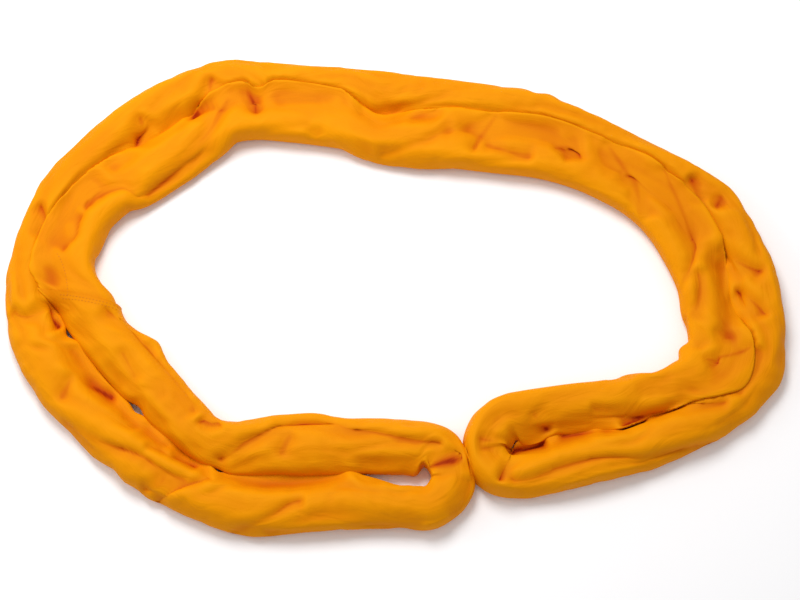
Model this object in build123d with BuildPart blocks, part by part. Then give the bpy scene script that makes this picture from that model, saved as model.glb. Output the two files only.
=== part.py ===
"""Polyester round sling for 10 t and over: an endless hank of yarn in a loose woven cover,
laid double on the floor and bent into a C whose two bights almost touch.

Frame: the sling lies on z = 0, +X runs along the long way of the C, +Y away from the side
where the bights meet, and the origin is under the middle of the whole C. Millimetres.
"""

import math
import os

from build123d import *

# Cover: a woven tube, lying as a slot-shaped section with a flat underside
COVER_WIDTH = 64
COVER_HEIGHT = 44
COVER_WALL = 1.5
LAP_LENGTH = 65  # how far one end of the cover is tucked inside the other
LAP_CLEARANCE = 0.3
LAP_COLLAR = 3  # short full-width ring where the tucked end narrows
MOUTH_GAP = 1.5  # bare step in front of the outer end of the cover

# Core: thirteen endless bundles of yarn in three rows
YARN_DIAMETER = 11
YARN_PITCH = 11.2
ROW_PITCH = 10.6
YARNS_PER_ROW = (4, 5, 4)

# Paper tape that binds the hank while the cover is drawn over it
TAPE_WIDTH = 22
TAPE_WALL = 0.8
TAPE_INSIDE_WIDTH = 57.6
TAPE_INSIDE_HEIGHT = 36
TAPE_MIN_STRAIGHT = 30  # a tape goes round every straight run at least this long

# Sewing thread
STITCH_LENGTH = 4
STITCH_WIDTH = 1
STITCH_HEIGHT = 0.7
STITCH_PITCH = 7
JOIN_ROWS = (8, 18)  # distance of each sewn row from the mouth of the cover
SEAM_LENGTH = 91
SEAM_OFFSET = 12

# Blank identification label, sewn along its top edge to the flank between the two strands
LABEL_HEIGHT = 26
LABEL_THICKNESS = 1
LABEL_BOTTOM = 9
LABEL_CLEARANCE = 0.1

# Corners of the route that the middle of the sling follows, anticlockwise from the join:
# along the inner strand, round the left bight, along the whole outer strand, round the
# right bight and back along the inner strand.
LEFT_INNER = [(-475, -90), (-330, -250), (-240, -270), (-40, -262)]
LEFT_BIGHT = [(70, -269), (100, -321), (70, -373)]
OUTER_STRAND = [
    (-45, -370), (-245, -388), (-430, -302), (-582, -155), (-646, 15), (-608, 182),
    (-485, 330), (-325, 418), (-130, 405), (230, 362), (430, 265), (565, 180),
    (632, 30), (632, -115), (530, -220), (400, -272), (270, -312),
]
RIGHT_BIGHT = [(175, -320), (145, -267), (175, -214)]
RIGHT_INNER = [
    (290, -194), (440, -182), (540, -122), (528, 20), (456, 168), (300, 255),
    (110, 275), (-120, 322), (-300, 340), (-435, 238), (-538, 140), (-564, 50),
]
ROUTE = LEFT_INNER + LEFT_BIGHT + OUTER_STRAND + RIGHT_BIGHT + RIGHT_INNER
RUN_SHARE = 0.45  # part of the shorter run that a bend takes
JOIN_BEND_TANGENT = 35  # the doubled, sewn lap keeps the run below it straight
MOUTH_DISTANCE = 60  # from the last corner of the route to the mouth of the cover

MID_HEIGHT = COVER_HEIGHT / 2
ORIGIN_SHIFT = Vector(1.65, -15.95, 0)  # puts the middle of the outline at x = 0, y = 0


def corner_turns(points):
    """Run before, run after and turn in radians at each corner of the closed route."""
    turns = []
    for i, corner in enumerate(points):
        before = Vector(*corner) - Vector(*points[i - 1])
        after = Vector(*points[(i + 1) % len(points)]) - Vector(*corner)
        turns.append((before.length, after.length, math.radians(before.get_angle(after))))
    return turns


def bend_radii(points):
    """Every bend as large as its two runs allow."""
    radii = []
    for i, (before, after, turn) in enumerate(corner_turns(points)):
        tangent = JOIN_BEND_TANGENT if i == 0 else RUN_SHARE * min(before, after)
        radii.append(tangent / math.tan(turn / 2))
    return radii


def raised(point, height=MID_HEIGHT):
    """A point of the route at a height above the floor, in the sling's own frame."""
    return Vector(point[0], point[1], height) + ORIGIN_SHIFT


def section_plane(origin, direction):
    """Plane across the sling: its x runs level across the strand and its y is up."""
    return Plane(origin=origin, x_dir=Vector(0, 0, 1).cross(direction), z_dir=direction)


os.makedirs("parts", exist_ok=True)
RADII = bend_radii(ROUTE)
CORNERS = [raised(point) for point in ROUTE]
RUN_DOWN = (CORNERS[0] - CORNERS[-1]).normalized()
MOUTH = CORNERS[-1] + RUN_DOWN * MOUTH_DISTANCE
TUCKED_STEP = MOUTH - RUN_DOWN * MOUTH_GAP

# The closed middle line of the core, and the cover's, which is open at the join
with BuildLine() as core_line:
    FilletPolyline(*CORNERS, radius=RADII, close=True)
with BuildLine() as cover_line:
    FilletPolyline(MOUTH, *CORNERS, TUCKED_STEP, radius=RADII)

core_path = core_line.wire()
cover_path = cover_line.wire()
print("bend radii:", [round(radius) for radius in RADII])
print("length of the sling:", round(core_path.length))

# Protective cover: the full tube, and the narrower end that is tucked inside its mouth
LAP_WIDTH = COVER_WIDTH - 2 * (COVER_WALL + LAP_CLEARANCE)
LAP_HEIGHT = COVER_HEIGHT - 2 * (COVER_WALL + LAP_CLEARANCE)
with BuildPart() as protective_cover:
    with BuildSketch(section_plane(MOUTH, RUN_DOWN)):
        SlotOverall(COVER_WIDTH, COVER_HEIGHT)
        SlotOverall(COVER_WIDTH - 2 * COVER_WALL, COVER_HEIGHT - 2 * COVER_WALL, mode=Mode.SUBTRACT)
    sweep(path=cover_path)
    with BuildSketch(section_plane(TUCKED_STEP - RUN_DOWN * LAP_COLLAR, RUN_DOWN)):
        SlotOverall(COVER_WIDTH, COVER_HEIGHT)
        SlotOverall(LAP_WIDTH - 2 * COVER_WALL, LAP_HEIGHT - 2 * COVER_WALL, mode=Mode.SUBTRACT)
    extrude(amount=LAP_COLLAR)
    with BuildSketch(section_plane(TUCKED_STEP, RUN_DOWN)):
        SlotOverall(LAP_WIDTH, LAP_HEIGHT)
        SlotOverall(LAP_WIDTH - 2 * COVER_WALL, LAP_HEIGHT - 2 * COVER_WALL, mode=Mode.SUBTRACT)
    extrude(amount=LAP_LENGTH)
protective_cover.part.label = "protective_cover"
export_step(protective_cover.part, "parts/protective_cover.step")

# Core: each bundle of yarn is an endless ring of its own at its place in the section
start_plane = section_plane(core_path @ 0, core_path % 0)
yarn_number = 0
for row, count in enumerate(YARNS_PER_ROW):
    for column in range(count):
        yarn_number += 1
        across = (column - (count - 1) / 2) * YARN_PITCH
        up = (row - 1) * ROW_PITCH
        with BuildPart() as core_yarn:
            with BuildSketch(start_plane):
                with Locations((across, up)):
                    Circle(YARN_DIAMETER / 2)
            sweep(path=core_path)
        name = f"core_yarn_{yarn_number:02d}"
        core_yarn.part.label = name
        export_step(core_yarn.part, f"parts/{name}.step")
        print(name, round(core_yarn.part.volume / (math.pi * YARN_DIAMETER**2 / 4)))

# Binding tapes round the hank, in the middle of each long straight run
runs = core_path.edges().filter_by(GeomType.LINE)
tape_number = 0
for run in runs:
    if run.length < TAPE_MIN_STRAIGHT or (run @ 0.5 - MOUTH).length < LAP_LENGTH + TAPE_WIDTH:
        continue
    tape_number += 1
    with BuildPart() as binding_tape:
        with BuildSketch(section_plane(run @ 0.5, run % 0.5)):
            SlotOverall(TAPE_INSIDE_WIDTH + 2 * TAPE_WALL, TAPE_INSIDE_HEIGHT + 2 * TAPE_WALL)
            SlotOverall(TAPE_INSIDE_WIDTH, TAPE_INSIDE_HEIGHT, mode=Mode.SUBTRACT)
        extrude(amount=TAPE_WIDTH / 2, both=True)
    name = f"core_binding_tape_{tape_number:02d}"
    binding_tape.part.label = name
    export_step(binding_tape.part, f"parts/{name}.step")

# Join stitching: rows of stitches round the outer end of the cover, over its top and flanks
with BuildSketch(Plane.XY, mode=Mode.PRIVATE) as cover_outline:
    SlotOverall(COVER_WIDTH, COVER_HEIGHT)
rim = cover_outline.wire()
stitch_count = int(rim.length / STITCH_PITCH)
stitch_planes = []
for distance in JOIN_ROWS:
    row_plane = section_plane(MOUTH + RUN_DOWN * distance, RUN_DOWN)
    for i in range(stitch_count):
        place = rim @ (i / stitch_count)
        along = rim % (i / stitch_count)
        if place.Y < -COVER_HEIGHT / 4:
            continue
        outward = Vector(along.Y, -along.X, 0)
        if outward.dot(place) < 0:
            outward = outward * -1
        stitch_planes.append(
            Plane(
                origin=row_plane.from_local_coords(place),
                x_dir=row_plane.from_local_coords(along) - row_plane.origin,
                z_dir=row_plane.from_local_coords(outward) - row_plane.origin,
            )
        )
with BuildPart() as join_stitching:
    with Locations(*stitch_planes):
        Box(STITCH_LENGTH, STITCH_WIDTH, STITCH_HEIGHT, align=(Align.CENTER, Align.CENTER, Align.MIN))
join_stitching.part.label = "join_stitching"
export_step(join_stitching.part, "parts/join_stitching.step")

# Side seam stitching: one row along the top of the cover, up from the join
seam_planes = []
for i in range(int(SEAM_LENGTH / STITCH_PITCH)):
    station = cover_path.length - LAP_COLLAR - (i + 0.5) * STITCH_PITCH
    tangent = cover_path.tangent_at(station, position_mode=PositionMode.LENGTH)
    middle = cover_path.position_at(station, position_mode=PositionMode.LENGTH)
    away = Vector(0, 0, 1).cross(tangent) * -1
    on_top = Vector(0, 0, COVER_HEIGHT / 2)
    seam_planes.append(
        Plane(origin=middle + away * SEAM_OFFSET + on_top, x_dir=tangent, z_dir=(0, 0, 1))
    )
with BuildPart() as side_seam_stitching:
    with Locations(*seam_planes):
        Box(STITCH_LENGTH, STITCH_WIDTH, STITCH_HEIGHT, align=(Align.CENTER, Align.CENTER, Align.MIN))
side_seam_stitching.part.label = "side_seam_stitching"
export_step(side_seam_stitching.part, "parts/side_seam_stitching.step")

# Identification label: a blank strip standing against the cover's outer flank above the join
last_bend = cover_path.edges().filter_by(GeomType.CIRCLE).sort_by_distance(CORNERS[-1])[0]
label_line = last_bend.trim(0.05, 0.95)
label_plane = section_plane(label_line @ 0, label_line % 0)
print("label length:", round(label_line.length))
outer_side = 1 if label_plane.x_dir.X < 0 else -1
label_across = outer_side * (COVER_WIDTH / 2 + LABEL_CLEARANCE + LABEL_THICKNESS / 2)
label_up = LABEL_BOTTOM + LABEL_HEIGHT / 2 - MID_HEIGHT
with BuildPart() as identification_label:
    with BuildSketch(label_plane):
        with Locations((label_across, label_up)):
            Rectangle(LABEL_THICKNESS, LABEL_HEIGHT)
    sweep(path=Wire([label_line]))
identification_label.part.label = "identification_label"
export_step(identification_label.part, "parts/identification_label.step")
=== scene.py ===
"""Looks of a polyester round sling: a loose woven cover, laid double in a C round its yarn hank.

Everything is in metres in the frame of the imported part: +Z up, the floor at z = 0.
"""
import math

import bmesh
import bpy
import numpy as np
from mathutils import Matrix, Vector, noise
from mathutils.bvhtree import BVHTree
from mathutils.kdtree import KDTree


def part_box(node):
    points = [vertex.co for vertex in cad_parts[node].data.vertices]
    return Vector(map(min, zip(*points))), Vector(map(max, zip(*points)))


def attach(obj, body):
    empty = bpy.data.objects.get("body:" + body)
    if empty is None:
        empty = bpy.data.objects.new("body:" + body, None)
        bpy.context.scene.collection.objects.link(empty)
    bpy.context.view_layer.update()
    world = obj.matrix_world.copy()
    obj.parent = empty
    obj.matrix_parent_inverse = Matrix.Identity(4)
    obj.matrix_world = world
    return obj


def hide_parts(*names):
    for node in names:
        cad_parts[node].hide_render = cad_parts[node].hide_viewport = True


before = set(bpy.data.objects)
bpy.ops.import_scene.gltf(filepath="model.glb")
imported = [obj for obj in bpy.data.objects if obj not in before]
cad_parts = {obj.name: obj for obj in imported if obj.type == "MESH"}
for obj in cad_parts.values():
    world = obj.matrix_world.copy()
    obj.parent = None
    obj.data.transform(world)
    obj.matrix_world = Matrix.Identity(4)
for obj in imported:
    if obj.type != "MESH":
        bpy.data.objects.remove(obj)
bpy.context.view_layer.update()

MM = 0.001
ROUTE_SHIFT = (1.65, -15.95)  # mm, from the route's own drawing origin to the part's

# ---------------------------------------------------------------- camera and studio

CAMERA_ELEVATION = math.radians(70)
CAMERA_DISTANCE = 3.2
CAMERA_TARGET = Vector((0.0103, -0.0215, 0.018))
MM_PER_FRAME_WIDTH = 1384  # what the 36 mm wide sensor sees at the sling's distance
SENSOR_WIDTH = 36
ROOM_LIGHT = 0.54


def make_camera():
    data = bpy.data.cameras.new("studio_camera")
    data.sensor_width = SENSOR_WIDTH
    data.lens = SENSOR_WIDTH * CAMERA_DISTANCE / (MM_PER_FRAME_WIDTH * MM)
    camera = bpy.data.objects.new("studio_camera", data)
    bpy.context.scene.collection.objects.link(camera)
    back = Vector((0, -math.cos(CAMERA_ELEVATION), math.sin(CAMERA_ELEVATION)))
    camera.location = CAMERA_TARGET + back * CAMERA_DISTANCE
    camera.rotation_euler = back.to_track_quat("Z", "Y").to_euler()
    bpy.context.scene.camera = camera


def add_area_light(name, place, size, watts, aim=(0, 0, 0)):
    data = bpy.data.lights.new(name, "AREA")
    data.shape = "DISK"
    data.size = size
    data.energy = watts
    lamp = bpy.data.objects.new(name, data)
    bpy.context.scene.collection.objects.link(lamp)
    lamp.location = place
    lamp.rotation_euler = (Vector(place) - Vector(aim)).to_track_quat("Z", "Y").to_euler()


# ---------------------------------------------------------------- material helpers


def linear(hex_colour):
    """sRGB hex to linear rgba."""
    parts = [int(hex_colour[i:i + 2], 16) / 255 for i in (1, 3, 5)]
    return tuple(c / 12.92 if c <= 0.04045 else ((c + 0.055) / 1.055) ** 2.4 for c in parts) + (1,)


def add_node(tree, kind, settings=(), **links):
    """One shader node with its settings, plain input values and incoming links."""
    node = tree.nodes.new(kind)
    for key, value in dict(settings).items():
        setattr(node, key, value)
    for key, value in links.items():
        key = key.replace("_", " ")
        key = int(key[1:]) if key.startswith("i") and key[1:].isdigit() else key
        if isinstance(value, bpy.types.NodeSocket):
            tree.links.new(value, node.inputs[key])
        else:
            node.inputs[key].default_value = value
    return node


def new_material(name):
    material = bpy.data.materials.new(name)
    material.use_nodes = True
    material.node_tree.nodes.clear()
    return material, material.node_tree


def studio_floor():
    """Matt white sweep board."""
    material, tree = new_material("matt_white_board")
    shader = add_node(tree, "ShaderNodeBsdfPrincipled", Base_Color=linear("#FDFCFD"), Roughness=0.9)
    add_node(tree, "ShaderNodeOutputMaterial", Surface=shader.outputs[0])
    bm = bmesh.new()
    bmesh.ops.create_grid(bm, x_segments=1, y_segments=1, size=6)
    mesh = bpy.data.meshes.new("studio_floor")
    bm.to_mesh(mesh)
    bm.free()
    mesh.materials.append(material)
    floor = bpy.data.objects.new("studio_floor", mesh)
    bpy.context.scene.collection.objects.link(floor)


make_camera()
studio_floor()
world = bpy.data.worlds.new("studio_light")
bpy.context.scene.world = world
world.use_nodes = True
world.node_tree.nodes["Background"].inputs[0].default_value = linear("#FFFFFF")
world.node_tree.nodes["Background"].inputs[1].default_value = ROOM_LIGHT
add_area_light("soft_box_above", (-0.5, 1.3, 2.4), 1.4, 56)
add_area_light("soft_box_left", (-2.2, 0.3, 1.5), 1.2, 12)
bpy.context.scene.view_settings.view_transform = "Standard"

# ---------------------------------------------------------------- the route

# Corners of the route of the hank, in mm: down the inner strand from the join, round the left
# bight, back along the outer strand, round the right bight and home along the inner strand.
ROUTE = [
    (-475, -90), (-330, -250), (-240, -270), (-40, -262),
    (70, -269), (100, -321), (70, -373),
    (-45, -370), (-245, -388), (-430, -302), (-582, -155), (-646, 15), (-608, 182),
    (-485, 330), (-325, 418), (-130, 405), (120, 381), (230, 362), (430, 265), (565, 180),
    (632, 30), (632, -115), (530, -220), (400, -272), (270, -312),
    (175, -320), (145, -267), (175, -214),
    (290, -194), (440, -182), (540, -122), (528, 20), (456, 168), (300, 255),
    (110, 275), (-120, 322), (-300, 340), (-435, 238), (-538, 140), (-564, 50),
]

# Where the edges of the two strands lie, in mm. The two strands share the seam between them.
OUTSIDE = [
    (135, -335), (130, -350), (115, -375), (80, -400), (60, -410), (0, -405), (-110, -410),
    (-175, -415), (-235, -420), (-280, -410), (-310, -400), (-380, -370), (-415, -355),
    (-435, -335), (-455, -330), (-470, -305), (-505, -285), (-545, -245), (-595, -195),
    (-635, -135), (-660, -85), (-670, -30), (-675, 30), (-660, 115), (-635, 180), (-630, 205),
    (-600, 250), (-555, 290), (-510, 345), (-475, 375), (-440, 400), (-380, 430), (-340, 445),
    (-280, 455), (-230, 440), (-125, 425), (80, 405), (230, 395), (255, 385), (275, 385),
    (305, 365), (330, 355), (440, 295), (525, 245), (565, 220), (595, 195), (625, 140), (660, 55),
    (665, 5), (670, -45), (665, -130), (655, -160), (630, -185), (605, -215), (530, -260),
    (470, -290), (430, -305), (315, -335), (220, -355), (170, -350), (135, -335),
]
INSIDE = [
    (110, -265), (105, -250), (85, -235), (50, -225), (-10, -220), (-50, -220), (-85, -220),
    (-130, -210), (-155, -210), (-210, -215), (-260, -225), (-290, -230), (-345, -170),
    (-395, -110), (-420, -65), (-435, -50), (-485, -20), (-495, 5), (-510, 35), (-535, 55),
    (-515, 85), (-500, 120), (-495, 170), (-470, 165), (-450, 165), (-430, 175), (-395, 200),
    (-360, 225), (-290, 285), (-260, 335), (-245, 345), (-250, 370), (-230, 340), (-165, 300),
    (-130, 300), (-75, 270), (-30, 255), (0, 250), (45, 245), (120, 245), (160, 255), (185, 245),
    (250, 245), (290, 250), (340, 220), (395, 185), (415, 165), (440, 135), (450, 110), (480, 70),
    (490, 15), (495, -40), (510, -70), (530, -110), (500, -130), (475, -145), (410, -140),
    (385, -145), (365, -155), (330, -160), (245, -170), (195, -185), (140, -205), (125, -230),
    (115, -265),
]
SEAM = [
    (-65, -315), (-285, -315), (-305, -305), (-340, -285), (-390, -245), (-450, -190),
    (-510, -125), (-565, -65), (-610, -5), (-620, 35), (-620, 100), (-610, 130), (-585, 175),
    (-555, 215), (-510, 255), (-470, 280), (-410, 310), (-380, 335), (-350, 365), (-335, 385),
    (-275, 405), (-240, 405), (-215, 405), (-195, 405), (-130, 395), (-90, 385), (-60, 360),
    (-30, 340), (-15, 340), (25, 350), (95, 355), (180, 345), (260, 335), (305, 320), (450, 255),
    (485, 225), (540, 170), (570, 110), (575, 85), (585, 10), (590, -40), (610, -75), (615, -100),
    (610, -130), (595, -175), (515, -195), (435, -210), (390, -240), (330, -240), (270, -245),
    (230, -260), (195, -265),
]
LEFT_EYE = [
    (-65, -315), (35, -315), (30, -320), (30, -330), (45, -345), (50, -360), (30, -355),
    (10, -340), (-25, -325),
]
RIGHT_EYE = [
    (160, -260), (170, -255), (195, -265), (170, -260),
]

# Short places where the two strands part and the floor shows between them.
SLIVERS = [(-560, -70), (-437, -203), (-296, -313)]
SLIVER_LENGTH = 12 * MM

STATION_SPACING = 7.5 * MM
AROUND = 29  # faces round the tube
LAP_LENGTH = 42 * MM  # of the tucked end, inside the mouth


def place(points):
    """Drawing points in mm to metres in the part's frame."""
    return [Vector(((x + ROUTE_SHIFT[0]) * MM, (y + ROUTE_SHIFT[1]) * MM, 0)) for x, y in points]


def guide_line():
    """The route as one closed smooth line, read from a NURBS curve through its corners."""
    curve = bpy.data.curves.new("route_guide", "CURVE")
    curve.dimensions = "3D"
    spline = curve.splines.new("NURBS")
    corners = place(ROUTE)
    spline.points.add(len(corners) - 1)
    for point, corner in zip(spline.points, corners):
        point.co = (*corner, 1)
    spline.order_u = 3
    spline.use_cyclic_u = True
    spline.resolution_u = 40
    guide = bpy.data.objects.new("route_guide", curve)
    bpy.context.scene.collection.objects.link(guide)
    mesh = bpy.data.meshes.new_from_object(guide.evaluated_get(bpy.context.evaluated_depsgraph_get()))
    line = np.array([v.co[:] for v in mesh.vertices])
    bpy.data.objects.remove(guide)
    return line


def spread_evenly(line, count, closed=True):
    """Points at equal distances along a polyline."""
    if closed:
        line = np.vstack([line, line[:1]])
    step = np.linalg.norm(np.diff(line, axis=0), axis=1)
    along = np.concatenate([[0], np.cumsum(step)])
    wanted = np.linspace(0, along[-1], count, endpoint=not closed)
    return np.stack([np.interp(wanted, along, line[:, i]) for i in range(3)], axis=1), along[-1]


def directions(line):
    """Unit tangents and level left-hand normals of a closed line."""
    tangent = np.roll(line, -1, axis=0) - np.roll(line, 1, axis=0)
    tangent /= np.linalg.norm(tangent, axis=1)[:, None]
    return tangent, np.stack([-tangent[:, 1], tangent[:, 0], np.zeros(len(line))], axis=1)


def tree_of_node(name):
    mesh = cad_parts[name].data
    return BVHTree.FromPolygons([v.co for v in mesh.vertices], [p.vertices for p in mesh.polygons])


def settle_on_core(line):
    """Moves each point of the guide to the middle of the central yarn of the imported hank."""
    tree = tree_of_node("core_yarn_07")
    low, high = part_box("core_yarn_07")
    reach = 25 * MM
    _, left = directions(line)
    settled = line.copy()
    settled[:, 2] = (low[2] + high[2]) / 2
    for i, (point, side) in enumerate(zip(settled, left)):
        sides = []
        for way in (1, -1):
            hit = tree.ray_cast(Vector(point + side * way * reach), Vector(-side * way), 2 * reach)[0]
            if hit:
                sides.append(np.array(hit))
        if len(sides) == 2:
            settled[i] = (sides[0] + sides[1]) / 2
    return settled


def smooth_round(values, window):
    """Running mean of a closed list of values."""
    kernel = np.hanning(window + 2)[1:-1]
    kernel /= kernel.sum()
    padded = np.concatenate([values[-window:], values, values[:window]])
    return np.convolve(padded, kernel, mode="same")[window:-window]


def reach_to_edge(line, sides, outline, furthest):
    """How far each station's side ray runs before it meets a drawn line; inf where it doesn't."""
    points = np.array([p[:2] for p in place(outline)])
    a = points[:-1]
    edge = points[1:] - a
    reach = np.full(len(line), np.inf)
    for i, (point, side) in enumerate(zip(line[:, :2], sides[:, :2])):
        to_start = a - point
        cross = side[0] * edge[:, 1] - side[1] * edge[:, 0]
        cross = np.where(np.abs(cross) < 1e-12, 1e-12, cross)
        distance = (to_start[:, 0] * edge[:, 1] - to_start[:, 1] * edge[:, 0]) / cross
        share = (to_start[:, 0] * side[1] - to_start[:, 1] * side[0]) / cross
        near = (share >= 0) & (share <= 1) & (distance > NEAREST_EDGE) & (distance < furthest)
        if near.any():
            reach[i] = distance[near].min()
    return reach


# ---------------------------------------------------------------- the cover

CORE_HALF_WIDTH = 30.2 * MM  # the hank with its binding tapes
CORE_HALF_HEIGHT = 18.9 * MM
CORE_SHOULDER = 21 * MM  # half width of the hank's flat top
NEAREST_EDGE = 22 * MM
SLIMMEST = 33 * MM  # least that the cover reaches to a side of the hank
WIDEST = 70 * MM
WIDEST_LAP = 92 * MM
CREST = 44 * MM  # top of the cover over the hank
EDGE_LEVEL = 16 * MM  # height at which a strand is widest
LAP_LEVEL = 46.5 * MM  # height of an edge that lies on the neighbouring strand
UNDERSIDE = 2.2 * MM
NOSE_ROUNDING = 2.5 * MM  # what the rounding of the section takes off its edges
TIGHT_BEND = 90 * MM
BIGHT_INSIDE = 31 * MM  # most that the cloth reaches towards the middle of a tight bend
BIGHT_CLOSED = 47 * MM  # the same in the right bight, whose eye the cloth closes
CLOTH_ROUND = 0.232  # circumference of the cover
JOIN_MOUTH = (-541, -20)  # drawing mm
JOIN_PROUD = 4 * MM  # how far the sewn end stands off the end tucked into it
JOIN_TAPER = 60 * MM
JOIN_AGREES = 0.18  # run before the join in which the two ends' folds become alike
JOIN_SLANT = 0.95  # along per across: the join runs slantwise over the strand
JOIN_SLANT_RUN = 0.12
TUCKED_UNDER = 1.2 * MM  # how much closer to the hank the tucked end lies
TUCK_ROWS = 3
LAP_STARTS = 46 * MM  # an edge this near the other strand's middle starts to climb on it
LAP_CLIMB = 26 * MM
OUTER_TUCK = 10 * MM  # how far the outer strand's cloth runs on under the lap
SHARED_TUCK = 2.5 * MM
SLIVER_GAP = 8 * MM
LOWEST = 1 * MM  # the cloth's clearance above the floor
SIM_FRAMES = 14
HELD = 0.04  # how firmly the cloth is held all over while it settles
HELD_AT_EDGE = 0.5  # and how much more along a strand's edges
HELD_FACES = 1.8  # over how many faces that fades
SLACK = 0.03  # how much longer the cloth is than the drawn section, so that it crinkles


def nearest_on_line(points, line):
    """Index of and distance to the nearest station, level distances only."""
    tree = KDTree(len(line))
    for i, point in enumerate(line):
        tree.insert((point[0], point[1], 0), i)
    tree.balance()
    found = [tree.find((p[0], p[1], 0)) for p in points]
    return np.array([f[1] for f in found]), np.array([f[2] for f in found])


def other_strand_distance(points, line, own, apart=0.2):
    """Level distance from each point to the nearest station that isn't on its own strand."""
    spacing = np.linalg.norm(line[1] - line[0])
    away = int(apart / spacing)
    count = len(line)
    result = np.empty(len(points))
    index = np.arange(count)
    for i, point in enumerate(points):
        gap = np.abs(index - own[i])
        gap = np.minimum(gap, count - gap)
        level = np.hypot(line[:, 0] - point[0], line[:, 1] - point[1])
        result[i] = level[gap > away].min()
    return result


def strand_edges(line):
    """Reach and height of the cover's left and right edges, and which stations are outer."""
    tangent, left = directions(line)
    turn = np.cross(np.roll(tangent, 1, axis=0), np.roll(tangent, -1, axis=0))[:, 2]
    bend = smooth_round(turn / (2 * STATION_SPACING), 9)
    bights, _ = nearest_on_line([np.array(p) for p in place([(100, -321), (145, -267)])], line)
    stations = np.arange(len(line))
    outer = (stations > bights[0]) & (stations < bights[1])
    slivers = np.array([p[:2] for p in place(SLIVERS)])
    edges = []
    for side, way in ((left, 1), (-left, -1)):
        rim = np.minimum(
            reach_to_edge(line, side, OUTSIDE, WIDEST), reach_to_edge(line, side, INSIDE, WIDEST)
        )
        eye = np.minimum(
            reach_to_edge(line, side, LEFT_EYE + LEFT_EYE[:1], WIDEST),
            reach_to_edge(line, side, RIGHT_EYE + RIGHT_EYE[:1], WIDEST),
        )
        rim = np.minimum(rim, eye)
        seam = reach_to_edge(line, side, SEAM, WIDEST_LAP)
        shared = seam < rim
        reach = np.where(shared, seam, rim)
        missed = ~np.isfinite(reach)
        reach[missed] = np.interp(stations[missed], stations[~missed], reach[~missed])
        edge = line + side * reach[:, None]
        spare = other_strand_distance(edge, line, stations)
        lifted = np.clip((LAP_STARTS - spare) / LAP_CLIMB, 0, 1) * (shared & ~outer)
        level = EDGE_LEVEL + (LAP_LEVEL - EDGE_LEVEL) * smooth_round(lifted, 9)
        tucked = np.where(shared & outer, OUTER_TUCK, np.where(shared, SHARED_TUCK, 0))
        for sliver in slivers:
            parting = np.exp(-(np.hypot(*(edge[:, :2] - sliver).T) / SLIVER_LENGTH) ** 2)
            tucked = tucked - np.where(shared, parting * (tucked + SLIVER_GAP), 0)
        reach = reach + tucked + NOSE_ROUNDING
        closed_bight = np.abs(stations - bights[1]) < np.abs(stations - bights[0])
        inside = np.where(closed_bight, BIGHT_CLOSED, BIGHT_INSIDE)
        limit = np.where(bend * way > 1 / TIGHT_BEND, inside, np.where(shared, WIDEST_LAP, WIDEST))
        limit = np.where(shared & outer, np.minimum(limit, WIDEST), limit)
        reach = np.where((bend * way > 1 / TIGHT_BEND) & closed_bight, inside, reach)
        reach = smooth_round(np.clip(reach, SLIMMEST, limit), 5)
        edges.append((reach, level))
    return edges, outer


def half_section(reach, level, crest):
    """Half of the cover's section from under the hank, round the edge, to the top."""
    lap = min(1, max(0, (level - EDGE_LEVEL - 4 * MM) / (14 * MM)))
    far = min(1, max(0, (reach - SLIMMEST) / (20 * MM)))

    def between(low, high, share):
        return low + (high - low) * share

    middle = (CORE_SHOULDER + reach) / 2
    bulge = between(4.5 * MM, 1.5 * MM, far)
    return [
        (0, UNDERSIDE),
        (between(reach - 10 * MM, 24 * MM, lap), UNDERSIDE),
        (between(reach - 2 * MM, 32 * MM, lap), between(level * 0.42, 9 * MM, lap)),
        (between(reach - 0.5 * MM, 36 * MM, lap), between(level * 0.75, level - 5 * MM, lap)),
        (between(reach, reach - 5 * MM, lap), between(level * 0.9, level - 3 * MM, lap)),
        (reach, level),
        (reach - 2 * MM, level + between(6 * MM, 1 * MM, lap)),
        (middle, (crest + level) / 2 + bulge * (1 - lap) + 1 * MM),
        (CORE_SHOULDER, crest - 0.7 * MM),
        (0, crest),
    ]


def cover_section(left_edge, right_edge, crest):
    """Evenly spaced points round the section, from under the hank by the left edge."""
    left_half = [(-x, z) for x, z in half_section(*left_edge, crest)]
    right_half = half_section(*right_edge, crest)
    ring = np.array(left_half + right_half[::-1][1:])
    step = np.hypot(*np.diff(ring, axis=0).T)
    along = np.concatenate([[0], np.cumsum(step)])
    fine = np.linspace(0, along[-1], 160)
    ring = np.stack([np.interp(fine, along, ring[:, 0]), np.interp(fine, along, ring[:, 1])], axis=1)
    kernel = np.hanning(9)[1:-1]
    kernel /= kernel.sum()
    wide = np.vstack([ring[-12:-1], ring, ring[1:12]])
    ring = np.stack([np.convolve(wide[:, k], kernel, mode="same")[11:-11] for k in (0, 1)], axis=1)
    wanted = np.linspace(0, len(ring) - 1, AROUND + 1)
    index = np.arange(len(ring))
    return np.stack([np.interp(wanted, index, ring[:, k]) for k in (0, 1)], axis=1)


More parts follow.
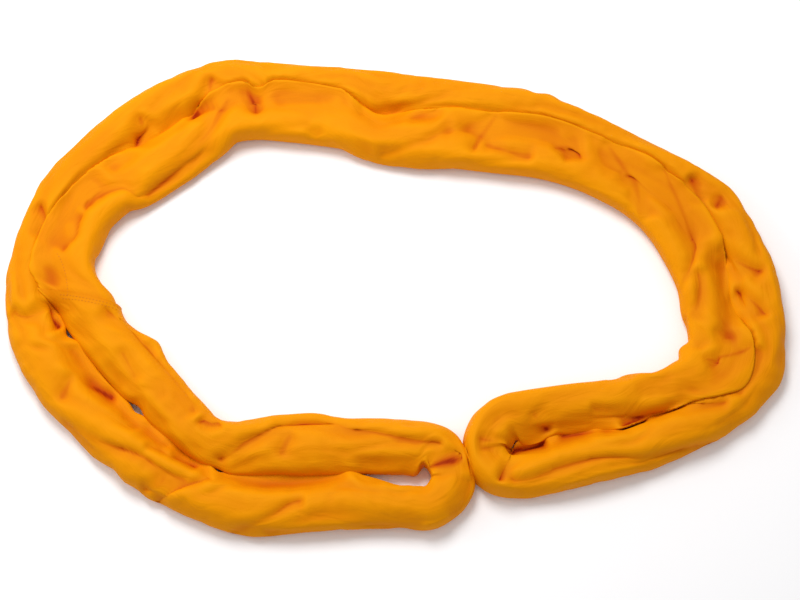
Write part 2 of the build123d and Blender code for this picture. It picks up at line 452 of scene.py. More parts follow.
def wrap_cover(line, length):
    """A flat strip of cloth, wrapped round the route and closed along its long seam.

    The tube stays open at the join, where its tucked end runs on inside its own mouth.
    """
    stations = len(line)
    rows = stations + round(LAP_LENGTH / STATION_SPACING)
    (left_edge, right_edge), _ = strand_edges(line)
    tangent, left = directions(line)
    sections = []
    for row in range(rows + 1):
        i = row % stations
        section = cover_section(
            (left_edge[0][i], left_edge[1][i]), (right_edge[0][i], right_edge[1][i]), CREST
        )
        proud = JOIN_PROUD * max(0, 1 - row * STATION_SPACING / JOIN_TAPER) ** 1.5
        tuck = min(1, max(0, row - stations + 2) / TUCK_ROWS)
        centre = np.array([0, EDGE_LEVEL])
        outward = section - centre
        outward /= np.linalg.norm(outward, axis=1)[:, None]
        section = section + outward * (proud - TUCKED_UNDER * tuck)
        sections.append(section)
    bm = bmesh.new()
    bm.loops.layers.uv.new("cut")
    bmesh.ops.create_grid(bm, x_segments=rows, y_segments=AROUND, size=0.5, calc_uvs=True)
    along = bm.verts.layers.float.new("along")
    around = bm.verts.layers.float.new("around")
    for vert in bm.verts:
        row = round((vert.co.x + 0.5) * rows)
        column = round((vert.co.y + 0.5) * AROUND)
        vert[along] = row * length / stations
        vert[around] = column / AROUND
        across, up = sections[row][column]
        i = row % stations
        to_join = min(row, abs(stations - row)) * STATION_SPACING
        slant = JOIN_SLANT * math.exp(-((to_join / JOIN_SLANT_RUN) ** 2))
        side = left[i][:2] + tangent[i][:2] * slant
        vert.co = Vector((*(line[i][:2] - side * across), max(up, 1.5 * MM)))
    bmesh.ops.remove_doubles(bm, verts=bm.verts, dist=1e-5)
    bmesh.ops.recalc_face_normals(bm, faces=bm.faces)
    return bm


def add_collision(obj, gap):
    obj.modifiers.new("collision", "COLLISION")
    obj.collision.thickness_outer = gap
    obj.collision.cloth_friction = 15


def core_form(line):
    """A plain tube round the hank, for the cloth to rest on."""
    _, left = directions(line)
    bm = bmesh.new()
    bmesh.ops.create_grid(bm, x_segments=len(line), y_segments=16, size=0.5)
    for vert in bm.verts:
        station = round((vert.co.x + 0.5) * len(line)) % len(line)
        angle = -2 * math.pi * (vert.co.y + 0.5)
        across = math.copysign(abs(math.cos(angle)) ** 0.8, math.cos(angle)) * CORE_HALF_WIDTH
        up = math.copysign(abs(math.sin(angle)) ** 0.8, math.sin(angle)) * CORE_HALF_HEIGHT
        middle = line[station]
        vert.co = Vector((*(middle[:2] - left[station][:2] * across), middle[2] + up))
    bmesh.ops.remove_doubles(bm, verts=bm.verts, dist=1e-5)
    bmesh.ops.recalc_face_normals(bm, faces=bm.faces)
    return to_object(bm, "core_form")


def to_object(bm, name):
    mesh = bpy.data.meshes.new(name)
    bm.to_mesh(mesh)
    bm.free()
    obj = bpy.data.objects.new(name, mesh)
    bpy.context.scene.collection.objects.link(obj)
    return obj


def attribute(mesh, name):
    values = np.empty(len(mesh.vertices), dtype=np.float32)
    mesh.attributes[name].data.foreach_get("value", values)
    return values


def coordinates(mesh):
    values = np.empty(len(mesh.vertices) * 3, dtype=np.float32)
    mesh.vertices.foreach_get("co", values)
    return values.reshape(-1, 3).astype(float)


def outward_normals(mesh):
    values = np.empty(len(mesh.vertices) * 3, dtype=np.float32)
    mesh.vertex_normals.foreach_get("vector", values)
    return values.reshape(-1, 3).astype(float)


def settle_cloth(cover, length, helpers):
    """Lets the wrapped cloth sag and crinkle; it is held at the join and softly at its edges."""
    scene = bpy.context.scene
    along = attribute(cover.data, "along")
    around = attribute(cover.data, "around")
    held = cover.vertex_groups.new(name="held")
    at_join = (along < 2.5 * STATION_SPACING) | (along > length - 1.5 * STATION_SPACING)
    to_edge = np.minimum(np.abs(around - 0.25), np.abs(around - 0.75)) * AROUND
    hold = HELD + HELD_AT_EDGE * np.exp(-((to_edge / HELD_FACES) ** 2))
    hold[at_join] = 1
    for index, weight in enumerate(hold):
        held.add([index], float(weight), "REPLACE")
    cloth = cover.modifiers.new("cloth", "CLOTH")
    weave = cloth.settings
    weave.quality = 5
    weave.mass = 0.25
    weave.tension_stiffness = weave.compression_stiffness = 14
    weave.shear_stiffness = 4
    weave.bending_stiffness = 1.5
    weave.tension_damping = weave.compression_damping = weave.shear_damping = 6
    weave.air_damping = 4
    weave.vertex_group_mass = "held"
    weave.pin_stiffness = 1
    weave.shrink_min = -SLACK
    weave.effector_weights.gravity = 0.5
    contact = cloth.collision_settings
    contact.collision_quality = 3
    contact.distance_min = 1.2 * MM
    contact.use_self_collision = False
    cloth.point_cache.frame_start = 1
    cloth.point_cache.frame_end = SIM_FRAMES
    for step in range(1, SIM_FRAMES + 1):
        scene.frame_set(step)
    graph = bpy.context.evaluated_depsgraph_get()
    settled = bpy.data.meshes.new_from_object(cover.evaluated_get(graph))
    scene.frame_set(1)
    cover.modifiers.clear()
    cover.vertex_groups.clear()
    cover.data = settled
    for helper in helpers:
        bpy.data.objects.remove(helper)


# ---------------------------------------------------------------- folds

# Each fold: name, depth, half width and lap in mm, and its line in drawing mm.
# A lap above 0 rolls the cloth on the line's left over it, below 0 the cloth on its right.
FOLDS = [
    ("inner_valley", 8, 8, 0, [
        (-295, 375), (-310, 340), (-330, 305), (-365, 260), (-405, 220), (-435, 190), (-450, 180),
    ]),
    ("inner_tuck", 9, 8, 4, [
        (-440, 180), (-460, 185), (-475, 195), (-495, 185), (-515, 175), (-535, 155), (-545, 145),
    ]),
    ("inner_curl", 6, 8, 2, [(-540, 155), (-550, 125), (-550, 100), (-565, 85), (-580, 65)]),
    ("pocket_long", 12, 9, -4, [(-325, 415), (-340, 385), (-355, 355), (-370, 325)]),
    ("pocket_low", 11, 9, -3, [(-450, 340), (-460, 310), (-465, 270)]),
    ("outer_wave", 8, 8, 3, [(-625, 170), (-610, 150), (-605, 120), (-620, 90)]),
    ("top_hollow", 9, 9, 0, [(-130, 315), (-135, 300), (-160, 285)]),
    ("top_diagonal", 8, 12, 0, [(190, 350), (170, 320), (150, 290), (130, 250)]),
    ("top_low_edge", 6, 8, 0, [(150, 280), (180, 270), (215, 260), (250, 250)]),
    ("shadow_pocket", 13, 11, 4, [(275, 265), (290, 275), (310, 275), (325, 260), (330, 240)]),
    ("right_long_one", 10, 11, 0, [(370, 285), (390, 255), (415, 210), (430, 170), (435, 125)]),
    ("right_long_two", 8, 8, 3, [
        (470, 240), (485, 200), (500, 160), (515, 110), (520, 75), (515, 50), (500, 20), (490, -5),
    ]),
    ("right_long_three", 8, 9, 0, [(520, 50), (525, 15), (520, -25), (505, -55)]),
    ("right_slot_one", 10, 7, 0, [(515, 220), (530, 190), (540, 160)]),
    ("right_slot_two", 13, 9, 0, [(575, 185), (565, 170), (560, 145)]),
    ("notch_fold", 12, 8, 0, [(-245, 330), (-250, 350), (-260, 375), (-265, 395)]),
    ("right_roll_one", 9, 8, 4, [(565, 95), (585, 70), (615, 45), (640, 35)]),
    ("right_roll_two", 9, 8, 4, [(580, 15), (605, 0), (625, -25), (640, -50)]),
    ("outer_crescent", 12, 7, 4, [(-655, -25), (-640, -40), (-620, -45), (-610, -30), (-605, -10)]),
    ("join_pocket", 13, 8, 0, [(-610, -15), (-595, -40), (-570, -70)]),
    ("left_inner_fold", 7, 8, 3, [
        (-500, -25), (-460, -65), (-415, -110), (-385, -145), (-360, -175), (-345, -200), (-330, -225),
    ]),
    ("left_inner_soft", 5, 10, 0, [(-470, -95), (-445, -145), (-430, -170)]),
    ("knee_fold", 13, 6, -5, [(-335, -230), (-320, -240), (-305, -245), (-285, -240)]),
    ("outer_soft_one", 7, 12, 0, [(-545, -135), (-550, -170), (-570, -205)]),
    ("outer_soft_two", 5, 10, 0, [(-540, -160), (-505, -170), (-465, -190)]),
    ("outer_long", 8, 8, 4, [
        (-565, -220), (-525, -245), (-475, -270), (-425, -285), (-390, -310), (-340, -335),
    ]),
    ("outer_long_two", 5, 5, 2, [(-420, -270), (-370, -290), (-325, -310)]),
    ("outer_dark", 9, 6, 0, [(-430, -345), (-395, -340), (-375, -325)]),
    ("outer_over", 9, 6, -5, [(-405, -370), (-365, -350), (-325, -340), (-300, -330)]),
    ("upper_line", 7, 7, 3, [
        (-305, -295), (-275, -285), (-250, -265), (-210, -245), (-175, -235), (-150, -230),
        (-110, -235), (-85, -245), (-25, -250), (20, -260), (85, -270),
    ]),
    ("upper_valley", 7, 8, 0, [(-170, -245), (-185, -275), (-195, -295)]),
    ("lower_line_one", 8, 7, 3, [(-285, -415), (-240, -405), (-200, -390), (-175, -370), (-145, -365)]),
    ("lower_line_two", 6, 7, 0, [
        (-220, -420), (-170, -405), (-120, -390), (-80, -395), (-5, -405), (55, -410),
    ]),
    ("bight_shade", 6, 7, 0, [(120, -315), (125, -340), (115, -375), (85, -395)]),
    ("curl_upper", 8, 6, 3, [(50, -300), (75, -290), (100, -285), (115, -295)]),
    ("curl_hole", 7, 11, 0, [(50, -312), (62, -308), (85, -303), (118, -297)]),
    ("curl_lower", 7, 6, 0, [(55, -310), (80, -315), (105, -310), (115, -295)]),
    ("gap_left", 12, 7, 3, [(135, -260), (160, -265), (190, -270), (220, -270), (260, -255)]),
    ("gap_right", 4, 6, 0, [
        (270, -250), (325, -245), (380, -245), (405, -230), (435, -220), (480, -205), (530, -200),
        (590, -175),
    ]),
    ("red_hollow", 13, 8, 0, [(375, -240), (400, -230), (430, -215)]),
    ("right_upper_line", 7, 6, 3, [(325, -205), (380, -210), (435, -210), (500, -205), (565, -195)]),
    ("right_upper_soft", 7, 9, 0, [(225, -210), (245, -230), (270, -245)]),
    ("right_lower_line", 9, 6, 4, [
        (185, -325), (220, -330), (265, -310), (320, -295), (355, -290), (410, -290), (460, -280),
        (525, -260), (590, -240),
    ]),
    ("right_tuck", 11, 6, -4, [(185, -275), (195, -290), (175, -320), (170, -340)]),
    ("corner_over", 13, 6, 4, [(520, -120), (560, -115), (600, -105), (610, -90)]),
    ("corner_round", 8, 6, 0, [(615, -95), (615, -135), (595, -165), (570, -185)]),
    ("corner_dimple", 7, 9, 0, [(540, -65), (560, -80), (585, -90)]),
    ("corner_flap", 7, 7, 0, [(495, -35), (510, -75), (525, -110)]),
]
HOLES = ("curl_hole",)  # folds that stand for a hole: painted dark shade over their whole width
# Strength of the painted dark shade over a hole.
HOLE_TINT = 2.6
LIFT = 8 * MM  # slack of the cloth above the hank between its folds
RIPPLE = 6.5 * MM
BROAD_FOLD = (0.21, 0.042)  # length and width of the soft folds
FINE_FOLD = (0.12, 0.034)
DEEPEN = 1.6
# Painted shade along the folds: width of the dark line, the fold depth that gives it in full, and how
# strongly it adds in.
LINE_WIDTH = 4.5 * MM
LINE_DEPTH = 11 * MM  # a fold this deep or deeper gets a full dark line of painted shade
LINE_TINT = 0.42
HIGHEST = 55 * MM
SOFT_TOP = 5 * MM  # the cloth flattens out gently over this height below the highest
# Depth of a hollow that counts as full in the painted shade; a rise this high counts as full in the
# painted highlight.
HOLLOW_FULL = 6 * MM
HANK_LEVEL = 22 * MM
HANK_SQUARE = 4  # how square the hank's section is; 2 would be an ellipse
HANK_ROOM = 1.075  # the cloth's clearance round the hank, as a share of its size
LAP_ROUND = 37 * MM
LAP_CLEAR = 24.5 * MM  # height of a lap over the middle of the hank that it crosses
LIFTED = 24 * MM
LAP_BENEATH = 30 * MM  # cloth that faces down above this is the underside of a lap
LAP_DROP = 10 * MM
LAP_LOWEST = 43.5 * MM
COVERED_TOP = 42.6 * MM


def fold_distance(points, line):
    """Signed distance to a polyline, left positive, and distance to its nearer end along it."""
    best = np.full(len(points), np.inf)
    signed = np.zeros(len(points))
    run = np.zeros(len(points))
    normal = np.zeros((len(points), 2))
    lengths = np.hypot(*np.diff(line, axis=0).T)
    total = lengths.sum()
    before = 0
    for start, end, size in zip(line[:-1], line[1:], lengths):
        way = (end - start) / size
        offset = points - start
        t = np.clip(offset @ way, 0, size)
        gap = offset - t[:, None] * way
        distance = np.hypot(*gap.T)
        side = np.sign(way[0] * offset[:, 1] - way[1] * offset[:, 0])
        closer = distance < best
        best[closer] = distance[closer]
        signed[closer] = (side * distance)[closer]
        run[closer] = (before + t)[closer]
        normal[closer] = (-way[1], way[0])
        before += size
    return signed, np.minimum(run, total - run), normal


def smooth_line(points):
    """A fold's drawn line with its corners rounded."""
    line = np.array([p[:2] for p in place(points)])
    for _ in range(3):
        if len(line) > 2:
            near = line[:-1] * 0.75 + line[1:] * 0.25
            far = line[:-1] * 0.25 + line[1:] * 0.75
            cut = np.empty((2 * len(near), 2))
            cut[0::2] = near
            cut[1::2] = far
            line = np.vstack([line[:1], cut, line[-1:]])
    return line


def press_folds(co, normals, fold_painted_shade):
    """Presses every fold into the upper side of the cloth."""
    facing = np.clip(normals[:, 2] * 2.2 + 0.25, 0, 1)
    for name, depth, width, lap, points in FOLDS:
        depth, width, lap = depth * MM, width * MM, lap * MM
        line = smooth_line(points)
        low, high = line.min(axis=0) - 6 * width, line.max(axis=0) + 6 * width
        inside = np.all((co[:, :2] > low) & (co[:, :2] < high), axis=1) & (facing > 0)
        index = np.flatnonzero(inside)
        if not len(index):
            continue
        signed, to_end, normal = fold_distance(co[index, :2], line)
        fade = np.clip(to_end / (2.2 * width), 0, 1)
        fade = fade * fade * (3 - 2 * fade) * facing[index]
        if lap < 0:
            signed, normal, lap = -signed, -normal, -lap
        over = signed > 0
        spread = np.where(over, width * (0.75 if lap else 1), width * (1.5 if lap else 1))
        groove = np.exp(-np.abs(signed / spread) ** 1.25)
        groove = 0.62 * groove + 0.38 * np.exp(-((signed / (2.6 * spread)) ** 2))
        roll = np.exp(-(((signed - 1.6 * width) / (1.3 * width)) ** 2)) * (lap > 0)
        push = np.where(over, np.exp(-((signed - 0.7 * width) / width) ** 2), 0)
        co[index, 2] += fade * (0.9 * lap * roll - DEEPEN * depth * groove)
        co[index, :2] -= normal * (fade * lap * push)[:, None]
        # Painted shade: a dark line along each fold, and dark shade over the whole width of a hole.
        marked = width if name in HOLES else LINE_WIDTH
        strength = HOLE_TINT if name in HOLES else min(1, depth / LINE_DEPTH)
        seen = fade * np.exp(-((signed / marked) ** 2)) * strength
        fold_painted_shade[index] = np.maximum(fold_painted_shade[index], seen)
    return co


def ripple_at(far, turn):
    """Height of the soft folds, as a share of RIPPLE, at a place on the flat cloth."""
    drift = far / BROAD_FOLD[0]
    across = turn * CLOTH_ROUND / BROAD_FOLD[1] + drift * 0.8
    broad = noise.noise(Vector((drift, across, 3.7)))
    second = noise.noise(Vector((far / FINE_FOLD[0], turn * CLOTH_ROUND / FINE_FOLD[1] - drift, 9.1)))
    return 1.9 * abs(broad) - 0.4 + 0.22 * second


def ripple_cloth(co, normals, along, around, length):
    """Long soft folds that drift round the strand; they agree where the two ends overlap."""
    shift = np.empty(len(co))
    for i, (far, turn) in enumerate(zip(along, around)):
        shift[i] = ripple_at(far, turn)
        back = far - length
        if back > -JOIN_AGREES:
            share = min(1, 1 + back / JOIN_AGREES)
            shift[i] += share * (ripple_at(back, turn) - shift[i])
    facing = np.clip(normals[:, 2] * 1.5 + 0.5, 0, 1)
    co[:, 2] += facing * (LIFT + RIPPLE * shift) * np.clip((co[:, 2] - 8 * MM) / (20 * MM), 0, 1)
    return co


def relax(co, mesh, rounds):
    """Evens the cloth out by moving each vertex towards its neighbours; open edges stay."""
    ends = np.empty(len(mesh.edges) * 2, dtype=np.int32)
    mesh.edges.foreach_get("vertices", ends)
    a, b = ends[0::2], ends[1::2]
    count = len(co)
    links = np.bincount(a, minlength=count) + np.bincount(b, minlength=count)
    loose = links == 4
    for _ in range(rounds):
        total = np.stack([
            np.bincount(a, weights=co[b, k], minlength=count)
            + np.bincount(b, weights=co[a, k], minlength=count)
            for k in range(3)
        ], axis=1)
        co = np.where(loose[:, None], co + 0.6 * (total / links[:, None] - co), co)
    return co


# Feeds the painted shade and highlight of the cloth's material.
def hollows(co, mesh, normals):
    """How far each point lies below (above 0) or above the cloth round it, from -1 to 1."""
    sunk = ((relax(co, mesh, 40) - co) * normals).sum(axis=1)
    return np.clip(sunk / HOLLOW_FULL, -1, 1)


def lay_laps(co, normals, own, line, edges, outer):
    """Keeps the inner strand's lapping cloth above the strand it covers, and that one down."""
    upper = normals[:, 2] > 0.15
    strand = outer[own]
    outer_at, inner_at = np.flatnonzero(outer), np.flatnonzero(~outer)
    over = np.flatnonzero(upper & ~strand)
    _, gap = nearest_on_line(co[over], line[outer_at])
    dome = np.clip(1 - (gap / LAP_ROUND) ** 4, 0, 1) ** 0.25
    height = HANK_LEVEL + LAP_CLEAR * dome
    co[over, 2] = np.where(gap < LAP_ROUND, np.maximum(co[over, 2], height), co[over, 2])
    _, left = directions(line)
    across = ((co - line[own]) * left[own]).sum(axis=1)
    level = np.where(across > 0, edges[0][1][own], edges[1][1][own])
    lifted = (level - EDGE_LEVEL) / (LAP_LEVEL - EDGE_LEVEL)
    flap = upper & ~strand & (np.abs(across) > CORE_SHOULDER)
    lowest = EDGE_LEVEL + (LAP_LOWEST - EDGE_LEVEL) * lifted
    co[flap, 2] = np.maximum(co[flap, 2], lowest[flap])
    under = np.flatnonzero(upper & strand)
    near, gap = nearest_on_line(co[under], line[inner_at])
    near = inner_at[near]
    reach = np.maximum(edges[0][0][near] * (edges[0][1][near] > LIFTED),
                       edges[1][0][near] * (edges[1][1][near] > LIFTED))
    covered = np.clip((reach - 2 * MM - gap) / (5 * MM), 0, 1)
    down = np.minimum(co[under, 2], COVERED_TOP)
    co[under, 2] += covered * (down - co[under, 2])
    return co


def keep_off_hank(co, line):
    """Pushes the cloth out of the hank and off the floor, and flattens what stands too high."""
    own, _ = nearest_on_line(co, line)
    _, left = directions(line)
    offset = co - line[own]
    across = (offset * left[own]).sum(axis=1)
    up = co[:, 2] - line[own, 2]
    size = np.abs(across / CORE_HALF_WIDTH) ** HANK_SQUARE + np.abs(up / CORE_HALF_HEIGHT) ** HANK_SQUARE
    size = np.maximum(size, 1e-6) ** (1 / HANK_SQUARE)
    grow = np.where(size < HANK_ROOM, HANK_ROOM / size, 1)
    co[:, :2] += left[own][:, :2] * (across * (grow - 1))[:, None]
    co[:, 2] += up * (grow - 1)
    soft_top = HIGHEST - SOFT_TOP
    above = np.maximum(co[:, 2] - soft_top, 0)
    flattened = np.minimum(co[:, 2], soft_top) + SOFT_TOP * np.tanh(above / SOFT_TOP)
    co[:, 2] = np.maximum(flattened, LOWEST)
    return co


def finish_cover(cover, line, length):
    """Halves the cloth's faces, then sculpts its folds on the finer mesh."""
    divide = cover.modifiers.new("finer", "SUBSURF")
    divide.levels = divide.render_levels = 1
    graph = bpy.context.evaluated_depsgraph_get()
    fine = bpy.data.meshes.new_from_object(cover.evaluated_get(graph))
    cover.modifiers.clear()
    cover.data = fine
    co = relax(coordinates(fine), fine, 3)
    normals = outward_normals(fine)
    fold_painted_shade = np.zeros(len(co))
    beneath = (normals[:, 2] < -0.1) & (co[:, 2] > LAP_BENEATH)
    co[beneath, 2] -= LAP_DROP
    co = ripple_cloth(co, normals, attribute(fine, "along"), attribute(fine, "around"), length)
    co = press_folds(co, normals, fold_painted_shade)
    own = np.round(attribute(fine, "along") / STATION_SPACING).astype(int) % len(line)
    co = lay_laps(co, normals, own, line, *strand_edges(line))
    co = keep_off_hank(co, line)
    co = relax(co, fine, 1)
    fine.vertices.foreach_set("co", co.ravel())
    fine.update()
    # Painted shade and highlight for the material: positive in hollows and along fold lines, where the
    # cloth is painted darker and redder, negative on raised cloth, where it is painted lighter.
    hollow = np.clip(hollows(co, fine, outward_normals(fine)) + LINE_TINT * fold_painted_shade, -1, 1)
    stored = fine.attributes.new("hollow", "FLOAT", "POINT")
    stored.data.foreach_set("value", hollow.astype(np.float32))


# ---------------------------------------------------------------- sewing

SIDE_SEAM = [(-585, 70), (-575, 55), (-565, 25), (-560, -10)]  # drawing mm
STITCH_LENGTH = 3.6 * MM
STITCH_PITCH = 5.6 * MM
THREAD_THICKNESS = 0.9 * MM
JOIN_ROWS = (7 * MM, 13 * MM)  # distance of the join's rows of stitches from the sewn edge
JOIN_HALF_WIDTH = 40 * MM
LABEL_LENGTH = 71 * MM
LABEL_WIDTH = 26 * MM
LABEL_THICKNESS = 0.7 * MM


def add_stitch(bm, at, along, out):
    """One stitch: a short, fat, rounded length of thread lying in the cloth."""
    across = out.cross(along).normalized()
    along = across.cross(out).normalized()
    turn = Matrix((along, across, out)).transposed().to_4x4()
    size = Matrix.Diagonal((STITCH_LENGTH / 2, THREAD_THICKNESS / 2, THREAD_THICKNESS / 2, 1))
    bmesh.ops.create_uvsphere(
        bm, u_segments=8, v_segments=6, radius=1,
        matrix=Matrix.Translation(at + out * THREAD_THICKNESS * 0.2) @ turn @ size,
    )


def sew_row(bm, tree, points):
    """Stitches along a drawn line, laid on the cloth straight below it."""
    points = np.array(points)
    steps = np.hypot(*np.diff(points, axis=0).T)
    run = np.concatenate([[0], np.cumsum(steps)])
    count = int(run[-1] / STITCH_PITCH)
    for far in (np.arange(count) + 0.5) * run[-1] / count:
        here, ahead = (
            Vector((np.interp(f, run, points[:, 0]), np.interp(f, run, points[:, 1]), 0.2))
            for f in (far, far + 1 * MM)
        )
        hit, out, _, _ = tree.ray_cast(here, Vector((0, 0, -1)))
        if hit and out.z > 0.35:
            add_stitch(bm, hit, ahead - here, out)


def sew(tree, line):
    tangent, left = directions(line)
    join = bmesh.new()
    for row in JOIN_ROWS:
        i = round(row / STATION_SPACING)
        middle, side = line[i][:2], left[i][:2] + tangent[i][:2] * JOIN_SLANT
        sew_row(join, tree, [middle + side * JOIN_HALF_WIDTH, middle - side * JOIN_HALF_WIDTH])
    seam = bmesh.new()
    sew_row(seam, tree, smooth_line(SIDE_SEAM))
    return to_object(join, "join_thread"), to_object(seam, "side_seam_thread")


def sew_on_label(tree, line):
    """A blank woven strip, sewn flat to the flank that faces the neighbouring strand."""
    low, high = (Vector(v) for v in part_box("identification_label"))
    middle = (low + high) / 2
    own, _ = nearest_on_line([middle], line)
    tangent = Vector(directions(line)[0][own[0]])
    out = middle - Vector(line[own[0]])
    out.z = 0
    out.normalize()
    bm = bmesh.new()
    bmesh.ops.create_grid(bm, x_segments=24, y_segments=9, size=0.5)
    for vert in bm.verts:
        spot = middle + tangent * vert.co.x * LABEL_LENGTH + Vector((0, 0, vert.co.y * LABEL_WIDTH))
        hit = tree.ray_cast(spot + out * 6 * MM, -out, 14 * MM)[0]
        vert.co = (hit or spot) + out * 1 * MM
    for _ in range(12):
        bmesh.ops.smooth_vert(bm, verts=bm.verts, factor=0.5, use_axis_x=True, use_axis_y=True)
    label = to_object(bm, "identification_label_strip")
    wall = label.modifiers.new("wall", "SOLIDIFY")
    wall.thickness = LABEL_THICKNESS
    wall.offset = 1
    return label


# ---------------------------------------------------------------- finishes

CLOTH_LENGTH_MM = 6070
CLOTH_ROUND_MM = CLOTH_ROUND / MM
THREAD_PITCH_MM = 2.4  # the real threads lie 0.6 mm apart; drawn coarser so that they show


def woven_polyester():
    """Orange woven polyester filament, piece dyed: smooth, with a low silky sheen.

    The darker and redder tint in the hollows and along the fold lines is painted shade, and the lighter
    tint on raised cloth is painted highlight; the real cloth has one even dye.
    """
    material, tree = new_material("woven_polyester_orange")
    cut = add_node(tree, "ShaderNodeUVMap")
    size = add_node(
        tree, "ShaderNodeVectorMath", {"operation": "MULTIPLY"},
        i0=cut.outputs[0], i1=(CLOTH_LENGTH_MM, CLOTH_ROUND_MM, 1),
    )
    threads = []
    for direction in ("X", "Y"):
        wave = add_node(
            tree, "ShaderNodeTexWave", {"bands_direction": direction},
            Vector=size.outputs[0], Scale=1 / (THREAD_PITCH_MM * 3.18), Distortion=0.6,
            Detail=1.0, Detail_Scale=0.4,
        )
        threads.append(wave.outputs["Fac"])
    weave = add_node(tree, "ShaderNodeMath", {"operation": "MULTIPLY"}, i0=threads[0], i1=threads[1])
    where = add_node(tree, "ShaderNodeTexCoord")
    dye = add_node(
        tree, "ShaderNodeTexNoise", Vector=where.outputs["Object"], Scale=9.0, Detail=3.0,
    )
    crinkle = add_node(
        tree, "ShaderNodeMapping", Vector=size.outputs[0], Scale=(0.014, 0.05, 1),
    )
    soft = add_node(tree, "ShaderNodeTexNoise", Vector=crinkle.outputs[0], Scale=1.0, Detail=4.0,
                    Distortion=0.8)
    shade = add_node(tree, "ShaderNodeValToRGB", Fac=dye.outputs["Fac"])
    ramp = shade.color_ramp
    ramp.elements[0].position = 0.3
    ramp.elements[0].color = linear("#DB7E00")
    ramp.elements[1].position = 0.7
    ramp.elements[1].color = linear("#E08700")
    # Painted shade: the cloth is painted darker and redder where a hollow or fold line is marked, and
    # deep red in the deepest places and over a hole.
    fold = add_node(tree, "ShaderNodeAttribute", {"attribute_name": "hollow"})
    low = add_node(
        tree, "ShaderNodeMapRange", Value=fold.outputs["Fac"], From_Min=0.1, From_Max=0.85,
        To_Min=0.0, To_Max=0.85,
    )
    high = add_node(
        tree, "ShaderNodeMapRange", Value=fold.outputs["Fac"], From_Min=-0.05, From_Max=-0.7,
        To_Min=0.0, To_Max=0.6,
    )
    fold_shade_colour = add_node(
        tree, "ShaderNodeMix", {"data_type": "RGBA"},
        i0=low.outputs[0], i6=shade.outputs[0], i7=linear("#B84000"),
    )
    lowest = add_node(
        tree, "ShaderNodeMapRange", Value=fold.outputs["Fac"], From_Min=0.8, From_Max=1.0,
        To_Min=0.0, To_Max=0.85,
    )
    deepest = add_node(
        tree, "ShaderNodeMix", {"data_type": "RGBA"},
        i0=lowest.outputs[0], i6=fold_shade_colour.outputs[2], i7=linear("#8E1C00"),
    )
    dye_and_painted_light = add_node(
        # Painted highlight: raised cloth is painted a lighter orange.
        tree, "ShaderNodeMix", {"data_type": "RGBA"},
        i0=high.outputs[0], i6=deepest.outputs[2], i7=linear("#EA9600"),
    )
    rough = add_node(
        tree, "ShaderNodeBump", Height=soft.outputs["Fac"], Distance=0.005, Strength=0.5,
    )
    fine = add_node(
        tree, "ShaderNodeBump", Height=weave.outputs[0], Distance=0.0003, Strength=0.35,
        Normal=rough.outputs[0],
    )
    shader = add_node(
        tree, "ShaderNodeBsdfPrincipled", Base_Color=dye_and_painted_light.outputs[2], Roughness=0.62,
        Normal=fine.outputs[0], IOR=1.5, Specular_IOR_Level=0.05, Sheen_Weight=0.04,
        Sheen_Roughness=0.4, Sheen_Tint=linear("#FF9A20"),
    )
    add_node(tree, "ShaderNodeOutputMaterial", Surface=shader.outputs[0])
    return material


def grained(name, dark, light, grain_scale, depth, strength, detail=1.0, warp=0.0, **finish):
    """A plain finish: one fine grain that both shades the colour and roughens the surface."""
    material, tree = new_material(name)
    where = add_node(tree, "ShaderNodeTexCoord")
    grain = add_node(
        tree, "ShaderNodeTexNoise", Vector=where.outputs["Object"], Scale=grain_scale,
        Detail=detail, Distortion=warp,
    )
    shade = add_node(tree, "ShaderNodeValToRGB", Fac=grain.outputs["Fac"])
    shade.color_ramp.elements[0].color = linear(dark)
    shade.color_ramp.elements[1].color = linear(light)
    bump = add_node(
        tree, "ShaderNodeBump", Height=grain.outputs["Fac"], Distance=depth, Strength=strength,
    )
    shader = add_node(
        tree, "ShaderNodeBsdfPrincipled", Base_Color=shade.outputs[0], Normal=bump.outputs[0],
        **finish,
    )
    add_node(tree, "ShaderNodeOutputMaterial", Surface=shader.outputs[0])
    return material


def spun_thread():
    """Polyester sewing thread, dyed to match and a shade deeper, twisted."""
    return grained(
        "polyester_sewing_thread", "#B75C00", "#E08A08", 900.0, 0.0002, 0.5,
        Roughness=0.5, Specular_IOR_Level=0.3,
    )


def label_cloth():
    """Blank woven satin label, cream, with a fine grain."""
    return grained(
        "woven_satin_label", "#D9D2BE", "#ECE7D8", 600.0, 0.0002, 0.4, Roughness=0.45,
    )


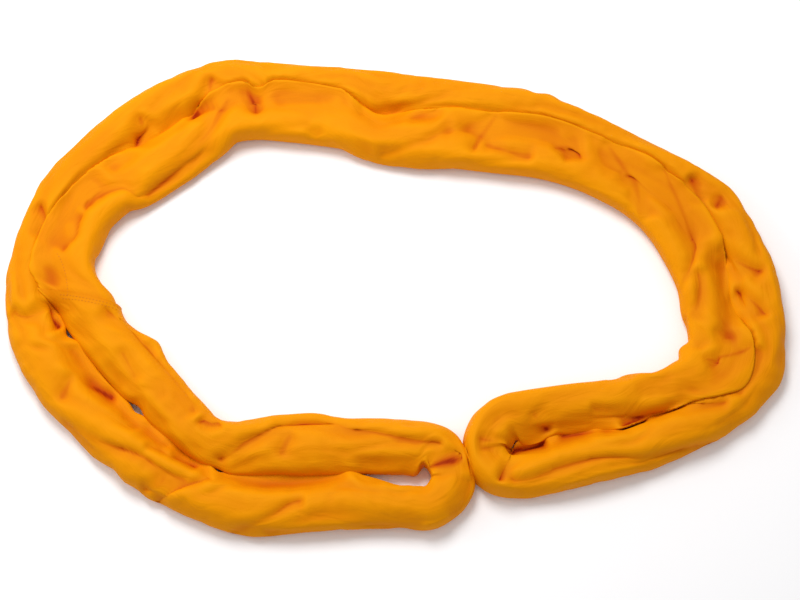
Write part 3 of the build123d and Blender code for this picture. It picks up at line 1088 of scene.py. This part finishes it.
def filament_yarn():
    """Undyed high-tenacity polyester filament, laid parallel: white and silky."""
    return grained(
        "polyester_filament_yarn", "#D9D6CC", "#F3F1EA", 450.0, 0.0004, 0.6, detail=2.0,
        Roughness=0.42, Sheen_Weight=0.2,
    )


def crepe_tape():
    """Crepe paper tape: matt, cream, with fine creping."""
    return grained(
        "crepe_paper_tape", "#D8C79A", "#EADDB8", 700.0, 0.0003, 0.6, detail=2.0, warp=0.5,
        Roughness=0.85,
    )


# ---------------------------------------------------------------- making


line, _ = spread_evenly(guide_line(), 2400)
line = settle_on_core(line)
loop_length = np.linalg.norm(np.roll(line, -1, axis=0) - line, axis=1).sum()
station_count = round(loop_length / STATION_SPACING)
line, loop_length = spread_evenly(line, station_count)
mouth, _ = nearest_on_line([np.array(p) for p in place([JOIN_MOUTH])], line)
line = np.roll(line, -mouth[0], axis=0)

cover = to_object(wrap_cover(line, loop_length), "woven_cover")
hank = core_form(line)
add_collision(hank, 0.8 * MM)
ground_bm = bmesh.new()
bmesh.ops.create_grid(ground_bm, x_segments=1, y_segments=1, size=1.2)
ground = to_object(ground_bm, "ground")
add_collision(ground, 0.5 * MM)
settle_cloth(cover, loop_length, [hank, ground])
finish_cover(cover, line, loop_length)
cover.data.shade_smooth()
cover.data.materials.append(woven_polyester())
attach(cover, "root")
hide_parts("protective_cover")

surface = BVHTree.FromPolygons(
    [v.co for v in cover.data.vertices], [p.vertices for p in cover.data.polygons]
)
join_thread, seam_thread = sew(surface, line)
thread = spun_thread()
for piece, node in ((join_thread, "join_stitching"), (seam_thread, "side_seam_stitching")):
    piece.data.shade_smooth()
    piece.data.materials.append(thread)
    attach(piece, "root")
    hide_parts(node)
label = sew_on_label(surface, line)
label.data.materials.append(label_cloth())
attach(label, "root")
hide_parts("identification_label")

yarn = filament_yarn()
tape = crepe_tape()
for name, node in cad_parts.items():
    if name.startswith("core_yarn"):
        node.material_slots[0].material = yarn
    elif name.startswith("core_binding_tape"):
        node.material_slots[0].material = tape
